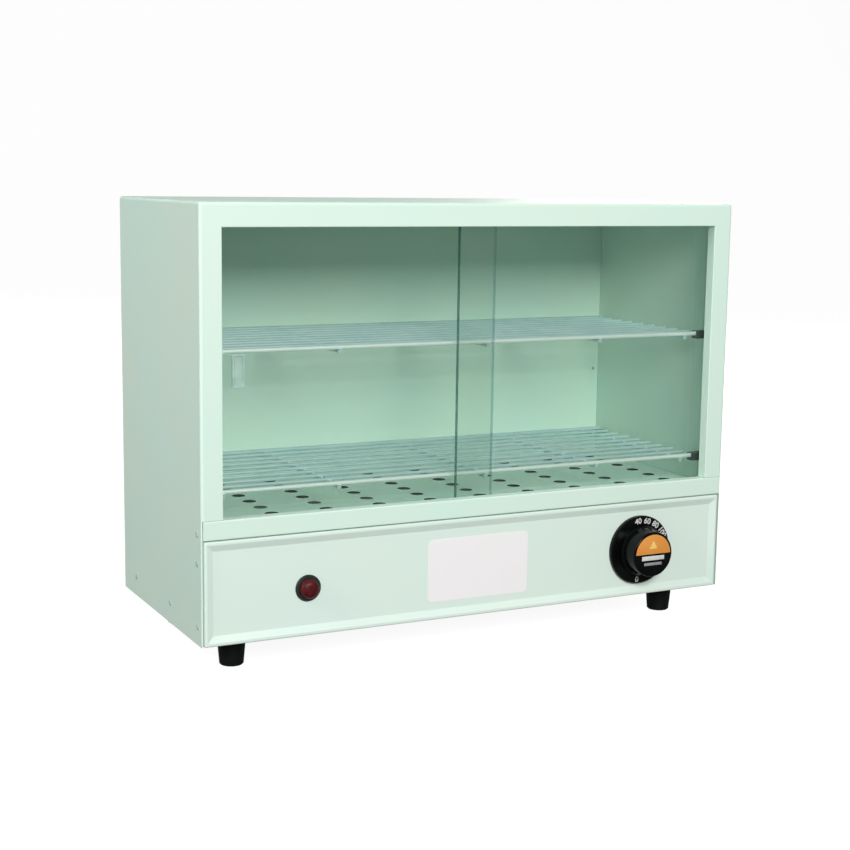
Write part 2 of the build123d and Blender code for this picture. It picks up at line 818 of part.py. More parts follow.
def make_earth_stud():
    """Earth screw through the base plate, with its nut."""
    floor = body_bottom + sheet
    stud = rod_z(earth_x, earth_y, body_bottom - 2, body_bottom, 3.8)
    stud += rod_z(earth_x, earth_y, body_bottom - 0.5, floor + 14, 2.0)
    stud += hex_z(earth_x, earth_y, floor, floor + 3.2, 4.0)
    return stud


def make_side_rivets():
    """Rivets along both sides, with low domed heads outside."""
    rivets = []
    for y, z in side_rivets:
        head = rod_x(half_width, half_width + rivet_head, y, z, rivet_head_radius)
        head = fillet(head.faces().sort_by(Axis.X)[-1].edges(), rivet_head * 0.8)
        inner_end = wall_x - sheet - 1.6
        rivet = head + rod_x(inner_end, half_width + 0.2, y, z, rivet_radius - 0.02)
        rivets += both_sides(rivet)
    return Compound(children=rivets)


def make_rear_screws():
    """Pan-head screws around the rear panel."""
    screws = []
    for x, z, seat in rear_screw_places():
        head = rod_y(x, seat, seat + 2, z, rear_screw_head_radius)
        head = fillet(head.faces().sort_by(Axis.Y)[-1].edges(), 1.0)
        head -= block(x - 2.4, x + 2.4, seat + 1.2, seat + 3, z - 0.4, z + 0.4)
        head -= block(x - 0.4, x + 0.4, seat + 1.2, seat + 3, z - 2.4, z + 2.4)
        screws.append(head + rod_y(x, seat - 2 * sheet, seat + 0.5, z, rear_screw_radius - 0.02))
    return Compound(children=screws)


def make_supply_lead():
    """Lead from the terminal block to the thermostat."""
    start_y = block_y - way_pitch
    points = [
        (block_left + 2, start_y, block_wire_z), (block_left - 8, start_y, block_wire_z),
        (stat_x + 9, start_y - 40, block_wire_z + 10), (stat_x + 9, stat_tab_y + 22, stat_z),
        (stat_x + 9, stat_tab_y, stat_z),
    ]
    return wire_run(points, wire_size, 5.0)


def make_heater_leads():
    """Leads from the thermostat and the terminal block to the heater's ends."""
    front = [
        (stat_x - 9, stat_tab_y, stat_z), (stat_x - 9, stat_tab_y + 14, stat_z),
        (heater_stud_x + 12, -heater_leg_y, heater_z), (heater_stud_x, -heater_leg_y, heater_z),
    ]
    rear = [
        (block_left + 2, block_y, block_wire_z), (block_left - 12, block_y, block_wire_z),
        (heater_stud_x + 20, heater_leg_y, heater_z - 14), (heater_stud_x + 12, heater_leg_y, heater_z),
        (heater_stud_x, heater_leg_y, heater_z),
    ]
    return Compound(children=[wire_run(front, wire_size, 4.0), wire_run(rear, wire_size, 4.0)])


def make_lamp_leads():
    """Pair of leads from the terminal block to the pilot lamp, along the front of the base."""
    leads = []
    run_z = block_floor + 4
    end_y = lamp_back_y + 7
    for side in (-1, 1):
        x = lamp_x + side * 4
        run_y = -62.0 - side * 2
        points = [
            (x, end_y, lamp_z), (x, end_y + 9 - side * 2, lamp_z), (x, run_y, run_z),
            (block_x - 2 + side * 4, run_y, run_z), (block_x - 2 + side * 4, run_y + 40, run_z),
            (block_x - 2 + side * 4, block_y - block_size[1] / 2 - 0.5, run_z + 4),
        ]
        leads.append(wire_run(points, wire_size, 3.0))
    return Compound(children=leads)


def make_earth_lead():
    """Lead from the terminal block to the earth stud."""
    start_y = block_y + way_pitch
    points = [
        (block_left + 2, start_y, block_wire_z), (block_left - 10, start_y, block_wire_z),
        (earth_x + 10, earth_y, block_floor + 6), (earth_x + 2, earth_y, block_floor + 6),
    ]
    return wire_run(points, wire_size, 4.0)


makers = {
    "outer_shell": make_outer_shell,
    "rear_panel": make_rear_panel,
    "control_panel": make_control_panel,
    "bottom_rail": make_bottom_rail,
    "base_plate": make_base_plate,
    "deck_plate": make_deck_plate,
    "bottom_track": make_bottom_track,
    "top_track": make_top_track,
    "left_glass": make_left_glass,
    "right_glass": make_right_glass,
    "left_pull": make_left_pull,
    "upper_shelf": make_upper_shelf,
    "lower_shelf": make_lower_shelf,
    "upper_brackets": make_upper_brackets,
    "lower_brackets": make_lower_brackets,
    "foot_screws": make_foot_screws,
    "foot_washers": make_foot_washers,
    "foot_nuts": make_foot_nuts,
    "dial_plate": make_dial_plate,
    "knob": make_knob,
    "knob_badge": make_knob_badge,
    "thermostat_shaft": make_thermostat_shaft,
    "thermostat_body": make_thermostat_body,
    "thermostat_screws": make_thermostat_screws,
    "thermostat_bulb": make_thermostat_bulb,
    "bulb_clips": make_bulb_clips,
    "lamp_housing": make_lamp_housing,
    "lamp_lens": make_lamp_lens,
    "lamp_bulb": make_lamp_bulb,
    "lamp_nut": make_lamp_nut,
    "front_label": make_front_label,
    "heating_element": make_heating_element,
    "heater_brackets": make_heater_brackets,
    "bracket_screws": make_bracket_screws,
    "terminal_block": make_terminal_block,
    "cord_gland": make_cord_gland,
    "gland_nut": make_gland_nut,
    "earth_stud": make_earth_stud,
    "side_rivets": make_side_rivets,
    "rear_screws": make_rear_screws,
    "supply_lead": make_supply_lead,
    "heater_leads": make_heater_leads,
    "lamp_leads": make_lamp_leads,
    "earth_lead": make_earth_lead,
}

os.makedirs("parts", exist_ok=True)
for name, maker in makers.items():
    export_step(maker(), f"parts/{name}.step")
for name, (x, y) in foot_places().items():
    export_step(make_foot(x, y), f"parts/{name}.step")
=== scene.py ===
import math

import bpy
from mathutils import Matrix, Vector


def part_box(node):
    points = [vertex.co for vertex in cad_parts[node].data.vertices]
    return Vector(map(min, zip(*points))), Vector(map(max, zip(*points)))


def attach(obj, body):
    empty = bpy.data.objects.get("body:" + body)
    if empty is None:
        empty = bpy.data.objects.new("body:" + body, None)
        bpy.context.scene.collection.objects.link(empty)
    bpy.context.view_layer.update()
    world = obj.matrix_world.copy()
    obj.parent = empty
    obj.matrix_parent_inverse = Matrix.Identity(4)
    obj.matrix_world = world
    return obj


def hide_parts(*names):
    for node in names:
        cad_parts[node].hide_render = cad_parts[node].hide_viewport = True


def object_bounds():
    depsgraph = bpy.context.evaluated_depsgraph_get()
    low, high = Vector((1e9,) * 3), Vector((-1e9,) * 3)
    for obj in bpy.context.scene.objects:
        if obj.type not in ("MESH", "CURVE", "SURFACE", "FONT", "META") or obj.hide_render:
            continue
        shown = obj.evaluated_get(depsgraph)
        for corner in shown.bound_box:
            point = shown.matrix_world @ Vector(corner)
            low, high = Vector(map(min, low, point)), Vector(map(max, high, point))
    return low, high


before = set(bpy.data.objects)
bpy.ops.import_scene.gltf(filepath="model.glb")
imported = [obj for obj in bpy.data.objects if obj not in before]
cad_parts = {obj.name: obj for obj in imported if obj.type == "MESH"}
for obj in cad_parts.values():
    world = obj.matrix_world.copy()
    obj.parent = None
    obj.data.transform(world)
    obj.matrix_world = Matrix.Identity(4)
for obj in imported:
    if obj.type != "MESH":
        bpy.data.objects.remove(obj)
cadLow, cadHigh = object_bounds()
mm = 0.001
print("frame loaded:", len(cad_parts), "nodes")


# small helpers

def linear(code):
    # an sRGB hex value as a linear colour with alpha
    values = [int(code[i:i + 2], 16) / 255 for i in (1, 3, 5)]
    return tuple(v / 12.92 if v <= 0.04045 else ((v + 0.055) / 1.055) ** 2.4 for v in values) + (1.0,)


def addNode(tree, kind, values=None, links=None, **settings):
    # a node with its settings, values and links; a node given as a link stands for its first output
    node = tree.nodes.new(kind)
    for name, value in settings.items():
        setattr(node, name, value)
    for name, value in (values or {}).items():
        node.inputs[name].default_value = value
    for name, source in (links or {}).items():
        tree.links.new(getattr(source, "outputs", [source])[0], node.inputs[name])
    return node


def newMaterial(name):
    # an empty node tree with object coordinates and an output
    material = bpy.data.materials.new(name)
    material.use_nodes = True
    tree = material.node_tree
    tree.nodes.clear()
    coords = addNode(tree, "ShaderNodeTexCoord").outputs["Object"]
    output = addNode(tree, "ShaderNodeOutputMaterial")
    return material, tree, coords, output


def patternScale(size):
    # the scale of a noise whose features are about that many millimetres across
    return 1 / (size * mm)


noiseBand = {"From Min": 0.3, "From Max": 0.7}  # where nearly all of a noise's values lie


def surfaceMaterial(name, look):
    # a Principled surface with two colours in slow drifts, uneven gloss and a fine relief
    material, tree, coords, output = newMaterial(name)
    drift = addNode(
        tree, "ShaderNodeTexNoise", {"Scale": patternScale(look["drift"]), "Detail": 3.0}, {"Vector": coords}
    )
    grain = addNode(
        tree, "ShaderNodeTexNoise",
        {"Scale": patternScale(look["grain"]), "Detail": look.get("grainDetail", 2.0)}, {"Vector": coords},
    )
    share = addNode(tree, "ShaderNodeMapRange", noiseBand, {"Value": drift})
    colour = addNode(
        tree, "ShaderNodeMix", {6: linear(look["colour"]), 7: linear(look["second"])}, {0: share},
        data_type="RGBA",
    ).outputs[2]
    if look.get("litRimColour"):
        # painted highlight: a lighter tone where the piece's front begins, standing in for the light that
        # falls on the front
        place = addNode(tree, "ShaderNodeSeparateXYZ", None, {"Vector": coords})
        isLitRim = addNode(tree, "ShaderNodeMapRange", {
            "From Min": look["rimBack"] * mm, "From Max": (look["rimBack"] + look["rimBlend"]) * mm,
            "To Min": 1.0, "To Max": 0.0,
        }, {"Value": place.outputs["Y"]})
        colour = addNode(
            tree, "ShaderNodeMix", {7: linear(look["litRimColour"])}, {0: isLitRim, 6: colour}, data_type="RGBA"
        ).outputs[2]
    if look.get("holeShadeColour"):
        # painted shade: a darker tone on the edges cut square through the sheet, standing in for the shade
        # inside the holes
        normal = addNode(tree, "ShaderNodeNewGeometry").outputs["True Normal"]
        upright = addNode(tree, "ShaderNodeSeparateXYZ", None, {"Vector": normal}).outputs["Z"]
        level = addNode(tree, "ShaderNodeMath", None, {0: upright}, operation="ABSOLUTE")
        isShadedCut = addNode(tree, "ShaderNodeMath", {1: 0.5}, {0: level}, operation="LESS_THAN")
        colour = addNode(
            tree, "ShaderNodeMix", {7: linear(look["holeShadeColour"])}, {0: isShadedCut, 6: colour}, data_type="RGBA"
        ).outputs[2]
    smoothest, roughest = look["rough"]
    gloss = addNode(
        tree, "ShaderNodeMapRange", {**noiseBand, "To Min": smoothest, "To Max": roughest},
        {"Value": grain},
    )
    bump = addNode(
        tree, "ShaderNodeBump", {"Strength": look["relief"], "Distance": look["depth"] * mm},
        {"Height": grain},
    )
    values = {
        "Metallic": look.get("metallic", 0.0), "IOR": look.get("ior", 1.5), "Alpha": look.get("alpha", 1.0),
        "Specular IOR Level": look.get("specular", 0.5),
    }
    links = {"Base Color": colour, "Roughness": gloss, "Normal": bump}
    shader = addNode(tree, "ShaderNodeBsdfPrincipled", values, links)
    tree.links.new(shader.outputs["BSDF"], output.inputs["Surface"])
    return material


def dress(names, material):
    # gives CAD nodes a better finish and leaves their shape alone
    for name in names:
        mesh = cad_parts[name].data
        mesh.materials.clear()
        mesh.materials.append(material)


def clearSelection():
    if bpy.context.mode != "OBJECT":
        bpy.ops.object.mode_set(mode="OBJECT")
    bpy.ops.object.select_all(action="DESELECT")


def take(piece):
    clearSelection()
    piece.select_set(True)
    bpy.context.view_layer.objects.active = piece


def start(name, operator, **settings):
    clearSelection()
    operator(**settings)
    piece = bpy.context.object
    piece.name = name
    piece.data.name = name
    bpy.ops.object.transform_apply(location=True, rotation=True, scale=True)
    return piece


def pickFaces(piece, test):
    # goes into edit mode with the faces that pass the test selected
    take(piece)
    bpy.ops.object.mode_set(mode="EDIT")
    bpy.ops.mesh.select_mode(type="FACE")
    bpy.ops.mesh.select_all(action="DESELECT")
    bpy.ops.object.mode_set(mode="OBJECT")
    for face in piece.data.polygons:
        face.select = test(face)
    bpy.ops.object.mode_set(mode="EDIT")


def extrudeBy(shift):
    bpy.ops.mesh.extrude_region_move(TRANSFORM_OT_translate={"value": shift})


def bevelEdges(piece, width, segments=3, angle=40):
    # rounds every edge sharper than the angle
    take(piece)
    modifier = piece.modifiers.new("roundedEdges", "BEVEL")
    modifier.width = width
    modifier.segments = segments
    modifier.limit_method = "ANGLE"
    modifier.angle_limit = math.radians(angle)
    bpy.ops.object.modifier_apply(modifier=modifier.name)


def settle(piece, body, material, stoodFor=()):
    # last steps of every new piece: place in the mesh, shading, finish and body
    take(piece)
    bpy.ops.object.transform_apply(location=True, rotation=True, scale=True)
    bpy.ops.object.shade_smooth_by_angle(angle=math.radians(35))
    piece.data.materials.clear()
    piece.data.materials.append(material)
    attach(piece, body)
    if stoodFor:
        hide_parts(*stoodFor)


def joinPieces(pieces, name):
    clearSelection()
    for piece in pieces:
        piece.select_set(True)
    bpy.context.view_layer.objects.active = pieces[0]
    bpy.ops.object.join()
    joined = bpy.context.object
    joined.name = name
    joined.data.name = name
    return joined


def copyAt(piece, shift, turn=0.0):
    # a copy with its own mesh, turned about the Z axis and moved in the mesh
    copy = piece.copy()
    copy.data = piece.data.copy()
    bpy.context.scene.collection.objects.link(copy)
    copy.data.transform(Matrix.Translation(shift) @ Matrix.Rotation(turn, 4, "Z"))
    return copy


# camera

cameraLook = {
    "place": (-0.6605, -1.3020, 0.4085),
    "yaw": 26.837,  # turned to the right of +Y
    "pitch": -8.916,
    "roll": 0.822,
    "lens": 68.17,
    "sensor": 36.0,
    "clip": (0.05, 60),
}


def makeCamera(look):
    data = bpy.data.cameras.new("frontCamera")
    camera = bpy.data.objects.new("frontCamera", data)
    bpy.context.scene.collection.objects.link(camera)
    yaw, pitch, roll = (math.radians(look[k]) for k in ("yaw", "pitch", "roll"))
    forward = Vector((math.sin(yaw) * math.cos(pitch), math.cos(yaw) * math.cos(pitch), math.sin(pitch)))
    right = Vector((math.cos(yaw), -math.sin(yaw), 0))
    up = right.cross(forward)
    turnedRight = math.cos(roll) * right + math.sin(roll) * up
    turnedUp = math.cos(roll) * up - math.sin(roll) * right
    turn = Matrix((turnedRight, turnedUp, -forward)).transposed().to_4x4()
    camera.matrix_world = Matrix.Translation(look["place"]) @ turn
    data.sensor_width = look["sensor"]
    data.lens = look["lens"]
    data.clip_start, data.clip_end = look["clip"]
    bpy.context.scene.camera = camera


makeCamera(cameraLook)


# studio

studioLook = {
    "floor": ("#7F807F", "#7C7D7C"),
    "floorDrift": 400,
    "floorRough": 0.9,
    "floorSize": 12,
    "wallHeight": 6,
    "sweepRound": 1.8,
    "glow": 0.92,
    "ambient": 0.2,
    "keyPower": 52,
    "keySize": 0.8,
    "keyPlace": (-0.4, -2.3, 1.2),
    "sidePower": 33,
    "sidePlace": (-2.2, -0.1, 1.4),
    "rearPower": 45,
    "rearPlace": (2.0, 2.0, 1.3),
    "fillSize": 1.2,  # of the side and rear lights
    "backdrop": ("#FFFFFF", "#FDFDFD"),
    "backdropDrift": 900,
    "backdropRadius": 8.0,
    "backdropHeight": 16,
    "backdropGlow": 0.98,
}


def areaLight(name, place, target, power, size):
    data = bpy.data.lights.new(name, "AREA")
    data.shape = "SQUARE"
    data.size = size
    data.energy = power
    light = bpy.data.objects.new(name, data)
    bpy.context.scene.collection.objects.link(light)
    light.location = place
    light.rotation_euler = (Vector(target) - Vector(place)).to_track_quat("-Z", "Y").to_euler()


def makeBackdrop(look):
    # a white ring all round, seen from the other sides and adding no light
    material, tree, coords, output = newMaterial("paleBackdrop")
    first, second = look["backdrop"]
    drift = addNode(
        tree, "ShaderNodeTexNoise", {"Scale": patternScale(look["backdropDrift"])}, {"Vector": coords}
    )
    shade = addNode(
        tree, "ShaderNodeMix", {6: linear(first), 7: linear(second)}, {0: drift}, data_type="RGBA"
    )
    values = {"Strength": look["backdropGlow"]}
    glow = addNode(tree, "ShaderNodeEmission", values, {"Color": shade.outputs[2]})
    tree.links.new(glow.outputs[0], output.inputs["Surface"])
    ring = start(
        "studioBackdrop", bpy.ops.mesh.primitive_cylinder_add, vertices=64, radius=look["backdropRadius"],
        depth=look["backdropHeight"], end_fill_type="NOTHING",
    )
    ring.data.materials.append(material)
    ring.visible_diffuse = False
    ring.visible_glossy = False
    ring.visible_shadow = False


def makeSweep(look):
    # a pale floor that curves up into a wall behind
    material, tree, coords, output = newMaterial("paleSweep")
    first, second = look["floor"]
    drift = addNode(
        tree, "ShaderNodeTexNoise", {"Scale": patternScale(look["floorDrift"])}, {"Vector": coords}
    )
    colour = addNode(
        tree, "ShaderNodeMix", {6: linear(first), 7: linear(second)}, {0: drift}, data_type="RGBA"
    )
    values = {
        "Roughness": look["floorRough"], "Emission Color": linear("#FFFFFF"),
        "Emission Strength": look["glow"],
    }
    shader = addNode(tree, "ShaderNodeBsdfPrincipled", values, {"Base Color": colour.outputs[2]})
    tree.links.new(shader.outputs["BSDF"], output.inputs["Surface"])
    floor = start("studioSweep", bpy.ops.mesh.primitive_plane_add, size=look["floorSize"])
    pickFaces(floor, lambda face: False)
    bpy.ops.mesh.select_mode(type="EDGE")
    bpy.ops.object.mode_set(mode="OBJECT")
    for edge in floor.data.edges:
        edge.select = all(floor.data.vertices[v].co.y > 0 for v in edge.vertices)
    bpy.ops.object.mode_set(mode="EDIT")
    extrudeBy((0, 0, look["wallHeight"]))
    bpy.ops.object.mode_set(mode="OBJECT")
    bevelEdges(floor, look["sweepRound"], segments=12)
    take(floor)
    bpy.ops.object.shade_smooth()
    floor.data.materials.append(material)
    floor.visible_diffuse = False  # the white sweep doesn't light the cabinet from below
    floor.visible_glossy = False


def makeStudio(look):
    world = bpy.data.worlds.new("studioWorld")
    bpy.context.scene.world = world
    world.use_nodes = True
    background = world.node_tree.nodes["Background"]
    background.inputs["Color"].default_value = linear("#FFFFFF")
    background.inputs["Strength"].default_value = look["ambient"]
    makeSweep(look)
    makeBackdrop(look)
    middle = (cadLow + cadHigh) / 2
    areaLight("keyLight", look["keyPlace"], middle, look["keyPower"], look["keySize"])
    areaLight("sideLight", look["sidePlace"], middle, look["sidePower"], look["fillSize"])
    areaLight("rearLight", look["rearPlace"], middle, look["rearPower"], look["fillSize"])
    bpy.context.scene.view_settings.view_transform = "Standard"


makeStudio(studioLook)
print("camera and studio set")


# sheet metal

# Mint powder coat on steel: sprayed as powder and baked, so it has a satin sheen, a fine orange
# peel and a slight drift towards cream
mintCoatLook = {
    "colour": "#D5F0E4", "second": "#DBEFDF", "drift": 120, "grain": 1.8, "grainDetail": 1.0,
    "rough": (0.36, 0.46), "relief": 0.12, "depth": 0.05, "ior": 1.5,
}
mintCoat = surfaceMaterial("mintPowderCoat", mintCoatLook)
dress(["outer_shell", "rear_panel", "bottom_rail"], mintCoat)

# The base front has its own copy of the coat, a touch creamier
panelCoat = surfaceMaterial("mintPowderCoatPanel", dict(mintCoatLook, colour="#DCEFE7", second="#DFEFE3"))
dress(["control_panel"], panelCoat)

# The same coat on the deck, with painted shade on the punched edges of its holes for the shade inside them
deckCoatShadedHoles = surfaceMaterial("mintPowderCoatDeckShadedHoles", dict(mintCoatLook, holeShadeColour="#16241D"))
dress(["deck_plate"], deckCoatShadedHoles)

# Galvanised steel of the base plate, left unpainted: dipped in zinc, so it has grey spangles,
# painted darker than bare zinc as painted shade, for the dark space under the deck seen through its holes
galvanised = surfaceMaterial("galvanisedSteelShadedDark", {
    "colour": "#5C6361", "second": "#7A8180", "drift": 9, "grain": 1.2,
    "rough": (0.42, 0.6), "relief": 0.12, "depth": 0.03, "metallic": 1.0,
})
dress(["base_plate"], galvanised)

# Black painted steel of the shelf brackets: brushed on, so it is glossier and uneven
blackPaint = surfaceMaterial("blackBracketPaint", {
    "colour": "#16201C", "second": "#222B27", "drift": 6, "grain": 0.7,
    "rough": (0.32, 0.5), "relief": 0.2, "depth": 0.05,
})
dress(["upper_brackets", "lower_brackets"], blackPaint)

# Mill-finish aluminium of the glass channels: drawn, so its fine lines run along the width
channelMetal = surfaceMaterial("drawnAluminium", {
    "colour": "#C9CDCB", "second": "#BEC3C1", "drift": 30, "grain": 0.8,
    "rough": (0.28, 0.42), "relief": 0.15, "depth": 0.02, "metallic": 1.0,
})
dress(["bottom_track", "top_track"], channelMetal)

# Zinc-plated steel: passivated, so it has a bluish and yellowish bloom
zincSteel = surfaceMaterial("zincPlatedSteel", {
    "colour": "#B9BDBD", "second": "#C4C0AE", "drift": 7, "grain": 0.5,
    "rough": (0.24, 0.4), "relief": 0.15, "depth": 0.02, "metallic": 1.0,
})
dress([
    "foot_screws", "foot_washers", "foot_nuts", "thermostat_shaft", "thermostat_screws",
    "bulb_clips", "heater_brackets", "bracket_screws", "earth_stud", "rear_screws",
], zincSteel)
print("sheet metal and fixings finished")


# glass

# Float glass, cut and ground: clear and faintly green through its faces, dark green in its edges
paneLook = {
    "tint": "#FBFEFC", "haze": "#CFE3E6", "hazeShare": (0.0048, 0.0112), "smear": 45,
    "ior": 1.52, "polish": 0.03,
    "mirrorShare": 0.04,  # reflected straight on; it rises towards 1 at a glancing angle
    "rightPaneEdge": ("#2C6457", 0.2),  # colour, and the share of light that it lets through
    # painted light: the left pane's edge is a paler, clearer copy of the edge, for how that edge is lit
    "leftPaneLitEdge": ("#86B8AB", 0.82),
    "edgeRough": 0.25, "edgeCoat": 0.5,
}


def makePaneGlass(name, look, edgeLook):
    edgeColour, edgeClear = edgeLook
    material, tree, coords, output = newMaterial(name)
    smear = addNode(
        tree, "ShaderNodeTexNoise", {"Scale": patternScale(look["smear"]), "Detail": 3.0}, {"Vector": coords}
    )
    share = addNode(tree, "ShaderNodeMapRange", {
        **noiseBand, "To Min": look["hazeShare"][0], "To Max": look["hazeShare"][1],
    }, {"Value": smear})
    seen = addNode(tree, "ShaderNodeBsdfTransparent", {"Color": linear(look["tint"])})
    haze = addNode(tree, "ShaderNodeBsdfDiffuse", {"Color": linear(look["haze"])})
    veiled = addNode(tree, "ShaderNodeMixShader", None, {0: share, 1: seen, 2: haze})
    mirror = addNode(tree, "ShaderNodeBsdfGlossy", {"Color": linear("#FFFFFF"), "Roughness": look["polish"]})
    slant = addNode(tree, "ShaderNodeLayerWeight", {"Blend": 0.5}).outputs["Facing"]
    glancing = addNode(tree, "ShaderNodeMath", {1: 5.0}, {0: slant}, operation="POWER")
    shine = addNode(
        tree, "ShaderNodeMath", {1: 1 - look["mirrorShare"], 2: look["mirrorShare"]}, {0: glancing},
        operation="MULTIPLY_ADD",
    )
    face = addNode(tree, "ShaderNodeMixShader", None, {0: shine, 1: veiled, 2: mirror})
    solid = addNode(tree, "ShaderNodeBsdfPrincipled", {
        "Base Color": linear(edgeColour), "Roughness": look["edgeRough"], "IOR": look["ior"],
        "Coat Weight": look["edgeCoat"],
    })
    clear = addNode(tree, "ShaderNodeBsdfTransparent", {"Color": linear(look["haze"])})
    edge = addNode(tree, "ShaderNodeMixShader", {0: edgeClear}, {1: solid, 2: clear})
    normal = addNode(tree, "ShaderNodeNewGeometry").outputs["True Normal"]
    turned = addNode(tree, "ShaderNodeSeparateXYZ", None, {"Vector": normal}).outputs["Y"]
    across = addNode(tree, "ShaderNodeMath", None, {0: turned}, operation="ABSOLUTE")
    isFace = addNode(tree, "ShaderNodeMath", {1: 0.9}, {0: across}, operation="GREATER_THAN")
    whole = addNode(tree, "ShaderNodeMixShader", None, {0: isFace, 1: edge, 2: face})
    tree.links.new(whole.outputs[0], output.inputs["Surface"])
    return material


dress(["right_glass"], makePaneGlass("rightPaneFloatGlass", paneLook, paneLook["rightPaneEdge"]))
dress(["left_glass"], makePaneGlass("leftPaneFloatGlassLitEdge", paneLook, paneLook["leftPaneLitEdge"]))

# Clear acrylic of the finger pull: moulded and glued, so it shows milky over the glue
pullAcrylic = surfaceMaterial("mouldedClearAcrylic", {
    "colour": "#AECDC2", "second": "#C4DED5", "drift": 8, "grain": 2.5,
    "rough": (0.12, 0.22), "relief": 0.1, "depth": 0.05, "ior": 1.49, "alpha": 0.6,
})

pullLook = {"rim": 1.6, "hollow": 1.0, "hollowShare": (0.8, 1, 0.9), "round": 0.5}


def makePull(look):
    # a block with a thumb hollow sunk in its front
    low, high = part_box("left_pull")
    piece = start(
        "leftFingerPull", bpy.ops.mesh.primitive_cube_add, size=1,
        location=(low + high) / 2, scale=high - low,
    )
    pickFaces(piece, lambda face: face.normal.y < -0.9)
    bpy.ops.mesh.inset(thickness=look["rim"] * mm)
    extrudeBy((0, look["hollow"] * mm, 0))
    bpy.ops.transform.resize(value=look["hollowShare"])
    bpy.ops.object.mode_set(mode="OBJECT")
    bevelEdges(piece, look["round"] * mm, segments=4, angle=30)
    settle(piece, "left_door", pullAcrylic, ["left_pull"])


makePull(pullLook)
print("glass finished")


# wire racks

# Nickel-plated wire: drawn and plated, a blue grey, with a painted highlight on the
# front rim, painted brighter for the light that falls there while the wires behind stay darker
rackWire = surfaceMaterial("nickelPlatedWireLitRim", {
    "colour": "#CEE4E5", "second": "#BDD9DD", "drift": 25, "grain": 0.6,
    "rough": (0.26, 0.38), "relief": 0.1, "depth": 0.02, "metallic": 0.35,
    "litRimColour": "#F4FFFB", "rimBack": -82.0, "rimBlend": 0.5,
})
dress(["upper_shelf", "lower_shelf"], rackWire)

weldLook = {
    "barPlaces": (-226, -123, 18, 133, 226), "rows": 10, "rimInset": 2.0, "rise": 4.0,
    "size": (2.1, 2.1, 1.2), "segments": 12, "rings": 8,
}


def makeWelds(name, cadNode, body, look):
    # a flattened bead where each long wire crosses a bar
    low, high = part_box(cadNode)
    firstBar = look["barPlaces"][0]
    firstRow = low.y + look["rimInset"] * mm
    lastRow = high.y - look["rimInset"] * mm
    step = (lastRow - firstRow) / (look["rows"] - 1)
    bead = start(
        name, bpy.ops.mesh.primitive_uv_sphere_add, segments=look["segments"], ring_count=look["rings"],
        radius=1 * mm, location=(firstBar * mm, firstRow, low.z + look["rise"] * mm), scale=look["size"],
    )
    beads = [bead]
    for bar in look["barPlaces"]:
        for row in range(look["rows"]):
            if (bar, row) != (firstBar, 0):
                beads.append(copyAt(bead, ((bar - firstBar) * mm, row * step, 0)))
    settle(joinPieces(beads, name), body, rackWire)


makeWelds("upperRackWelds", "upper_shelf", "upper_rack", weldLook)
makeWelds("lowerRackWelds", "lower_shelf", "lower_rack", weldLook)
print("racks finished")


# feet

# Moulded black rubber: matt with a fine spark-eroded grain and a little dust
footRubber = surfaceMaterial("mouldedBlackRubber", {
    "colour": "#040706", "second": "#0A0F0D", "drift": 9, "grain": 0.5,
    "rough": (0.45, 0.65), "relief": 0.35, "depth": 0.08, "specular": 0.2,
})
dress(["foot_front_left", "foot_front_right", "foot_rear_left", "foot_rear_right"], footRubber)
print("feet finished")


# thermostat knob and dial

# Black phenolic: compression moulded, so it is smooth with a soft gloss
blackPhenolic = surfaceMaterial("blackPhenolic", {
    "colour": "#050807", "second": "#0B0F0D", "drift": 12, "grain": 1.2,
    "rough": (0.1, 0.18), "relief": 0.05, "depth": 0.03, "specular": 0.14,
})
dress(["dial_plate", "knob", "lamp_nut", "cord_gland", "gland_nut"], blackPhenolic)

# Screen-printed inks on film: flat and even, with the film's soft gloss
orangeInk = surfaceMaterial("orangePrintInk", {
    "colour": "#E0903E", "second": "#DE9A48", "drift": 9, "grain": 0.4,
    "rough": (0.3, 0.42), "relief": 0.05, "depth": 0.01,
})
yellowInk = surfaceMaterial("yellowPrintInk", {
    "colour": "#FBD27C", "second": "#F6C76C", "drift": 4, "grain": 0.4,
    "rough": (0.3, 0.42), "relief": 0.05, "depth": 0.01,
})
whiteInk = surfaceMaterial("whitePrintInk", {
    "colour": "#DDDCD8", "second": "#C9CCCB", "drift": 3, "grain": 0.4,
    "rough": (0.35, 0.5), "relief": 0.05, "depth": 0.01,
})
greyInk = surfaceMaterial("greyPrintInk", {
    "colour": "#9EA19E", "second": "#878B88", "drift": 3, "grain": 0.4,
    "rough": (0.35, 0.5), "relief": 0.05, "depth": 0.01,
})

badgeLook = {
    "film": 0.25, "ink": 0.3, "rim": 0.3, "split": 0.5, "sides": 96, "round": 0.05,
    "pointer": {"radius": 4.94, "rise": 8.0, "proud": 0.04, "round": 0.1},
    "bars": (("badgeWhiteBar", whiteInk, 24, 4.0, -3.2), ("badgeGreyBar", greyInk, 19, 2.6, -8.6)),
    "barRound": 0.12,
}


